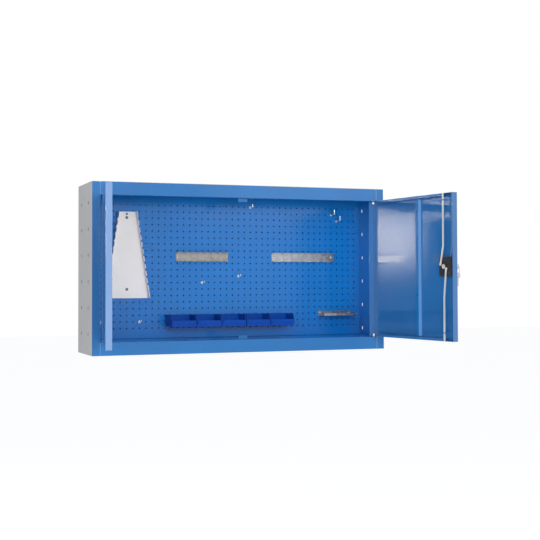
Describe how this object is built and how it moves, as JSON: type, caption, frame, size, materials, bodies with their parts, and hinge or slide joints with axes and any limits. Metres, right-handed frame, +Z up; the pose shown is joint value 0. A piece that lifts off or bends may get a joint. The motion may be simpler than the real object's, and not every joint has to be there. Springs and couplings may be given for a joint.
{
  "type": "tool cabinet with doors",
  "caption": "Wall-hung sheet-metal tool cabinet with two inset hinged doors, rod lock, perforated back panel, hook-on fittings and hang-on bins.",
  "frame": {"origin": "middle of the wall face, which is the middle of the four wall holes", "axes": "+X along the width to the right, +Y into the wall, +Z up; the front faces -Y"},
  "size_m": [1.3008, 0.7969, 0.63],
  "materials": {
    "side_grey": "satin grey powder coat",
    "inner_blue": "satin blue powder coat",
    "frame_blue": "semi-gloss blue powder coat",
    "black_rubber": "matt",
    "zinc": "bright zinc",
    "white_plastic": "satin",
    "black_plastic": "satin",
    "brass": "satin",
    "cream_paint": "yellow zinc",
    "rack_grey": "satin light grey",
    "rail_grey": "dull zinc",
    "bin_blue": "satin royal blue"
  },
  "bodies": {
    "cabinet": {"side_panel_left": "side_grey", "side_panel_right": "side_grey", "side_liner_left": "inner_blue", "side_liner_right": "inner_blue", "front_post_left": "frame_blue", "front_post_right": "frame_blue", "top_panel": "side_grey", "top_rail": "frame_blue", "floor_panel": "inner_blue", "bottom_rail": "frame_blue", "back_panel": "side_grey", "perforated_panel": "inner_blue", "panel_angle_left": "side_grey", "panel_angle_right": "side_grey", "door_stop_top": "frame_blue", "door_stop_bottom": "frame_blue", "stop_pads": "black_rubber", "left_hinge_pins": "zinc", "right_hinge_pins": "zinc", "wrench_rack": "rack_grey", "wrench_rack_screws": "zinc", "tool_rail_left": "rail_grey", "tool_rail_right": "rail_grey", "tool_rail_screws": "zinc", "bin_rail": "bin_blue", "bin_rail_screws": "zinc", "tool_shelf": "rail_grey", "tool_shelf_screws": "zinc", "single_hook": "zinc", "hook_pair": "zinc", "level_hooks": "zinc", "chisel_hooks": "zinc"},
    "left_door": {"left_door_skin": "frame_blue", "left_door_stiffener": "frame_blue", "left_pivot_bushes": "white_plastic"},
    "right_door": {"right_door_skin": "frame_blue", "right_door_stiffener": "frame_blue", "right_pivot_bushes": "white_plastic", "lock_case": "black_plastic", "lock_cylinder": "zinc", "rod_guides": "frame_blue"},
    "lock_works": {"lock_plug": "brass", "lock_cam": "black_plastic", "cam_nut": "zinc", "key": "zinc"},
    "upper_bolt": {"upper_rod": "cream_paint"},
    "lower_bolt": {"lower_rod": "cream_paint"},
    "ring_and_spare": {"key_ring": "zinc", "spare_key": "zinc"},
    "bin_1": {"bin_1": "bin_blue"},
    "bin_2": {"bin_2": "bin_blue"},
    "bin_3": {"bin_3": "bin_blue"},
    "bin_4": {"bin_4": "bin_blue"},
    "bin_5": {"bin_5": "bin_blue"}
  },
  "joints": [
    {"name": "left_door_hinge", "type": "hinge", "parent": "cabinet", "child": "left_door", "pos_m": [-0.537, -0.264, 0], "axis": [0, 0, 1], "range_deg": [-15, 100]},
    {"name": "right_door_hinge", "type": "hinge", "parent": "cabinet", "child": "right_door", "pos_m": [0.537, -0.264, 0], "axis": [0, 0, -1], "range_deg": [-17, 98]},
    {"name": "lock_turn", "type": "hinge", "parent": "right_door", "child": "lock_works", "pos_m": [0.60947, -0.73651, 0.002], "axis": [0.9903, 0.1392, 0], "range_deg": [0, 75]},
    {"name": "upper_bolt_slide", "type": "slide", "parent": "right_door", "child": "upper_bolt", "axis": [0, 0, 1], "range_m": [0, 0.0097]},
    {"name": "lower_bolt_slide", "type": "slide", "parent": "right_door", "child": "lower_bolt", "axis": [0, 0, -1], "range_m": [0, 0.0097]},
    {"name": "key_ring_swing", "type": "hinge", "parent": "lock_works", "child": "ring_and_spare", "pos_m": [0.65383, -0.73028, 0.002], "axis": [0.1392, -0.9903, 0], "range_deg": [-20, 60]},
    {"name": "bin_1_lift", "type": "slide", "parent": "cabinet", "child": "bin_1", "axis": [0, 0, 1], "range_m": [0, 0.02]},
    {"name": "bin_2_lift", "type": "slide", "parent": "cabinet", "child": "bin_2", "axis": [0, 0, 1], "range_m": [0, 0.02]},
    {"name": "bin_3_lift", "type": "slide", "parent": "cabinet", "child": "bin_3", "axis": [0, 0, 1], "range_m": [0, 0.02]},
    {"name": "bin_4_lift", "type": "slide", "parent": "cabinet", "child": "bin_4", "axis": [0, 0, 1], "range_m": [0, 0.02]},
    {"name": "bin_5_lift", "type": "slide", "parent": "cabinet", "child": "bin_5", "axis": [0, 0, 1], "range_m": [0, 0.02]}
  ],
  "couplings": [
    {"joint": "upper_bolt_slide", "follows": "lock_turn", "m_per_rad": 0.007409},
    {"joint": "lower_bolt_slide", "follows": "lock_turn", "m_per_rad": 0.007409}
  ]
}
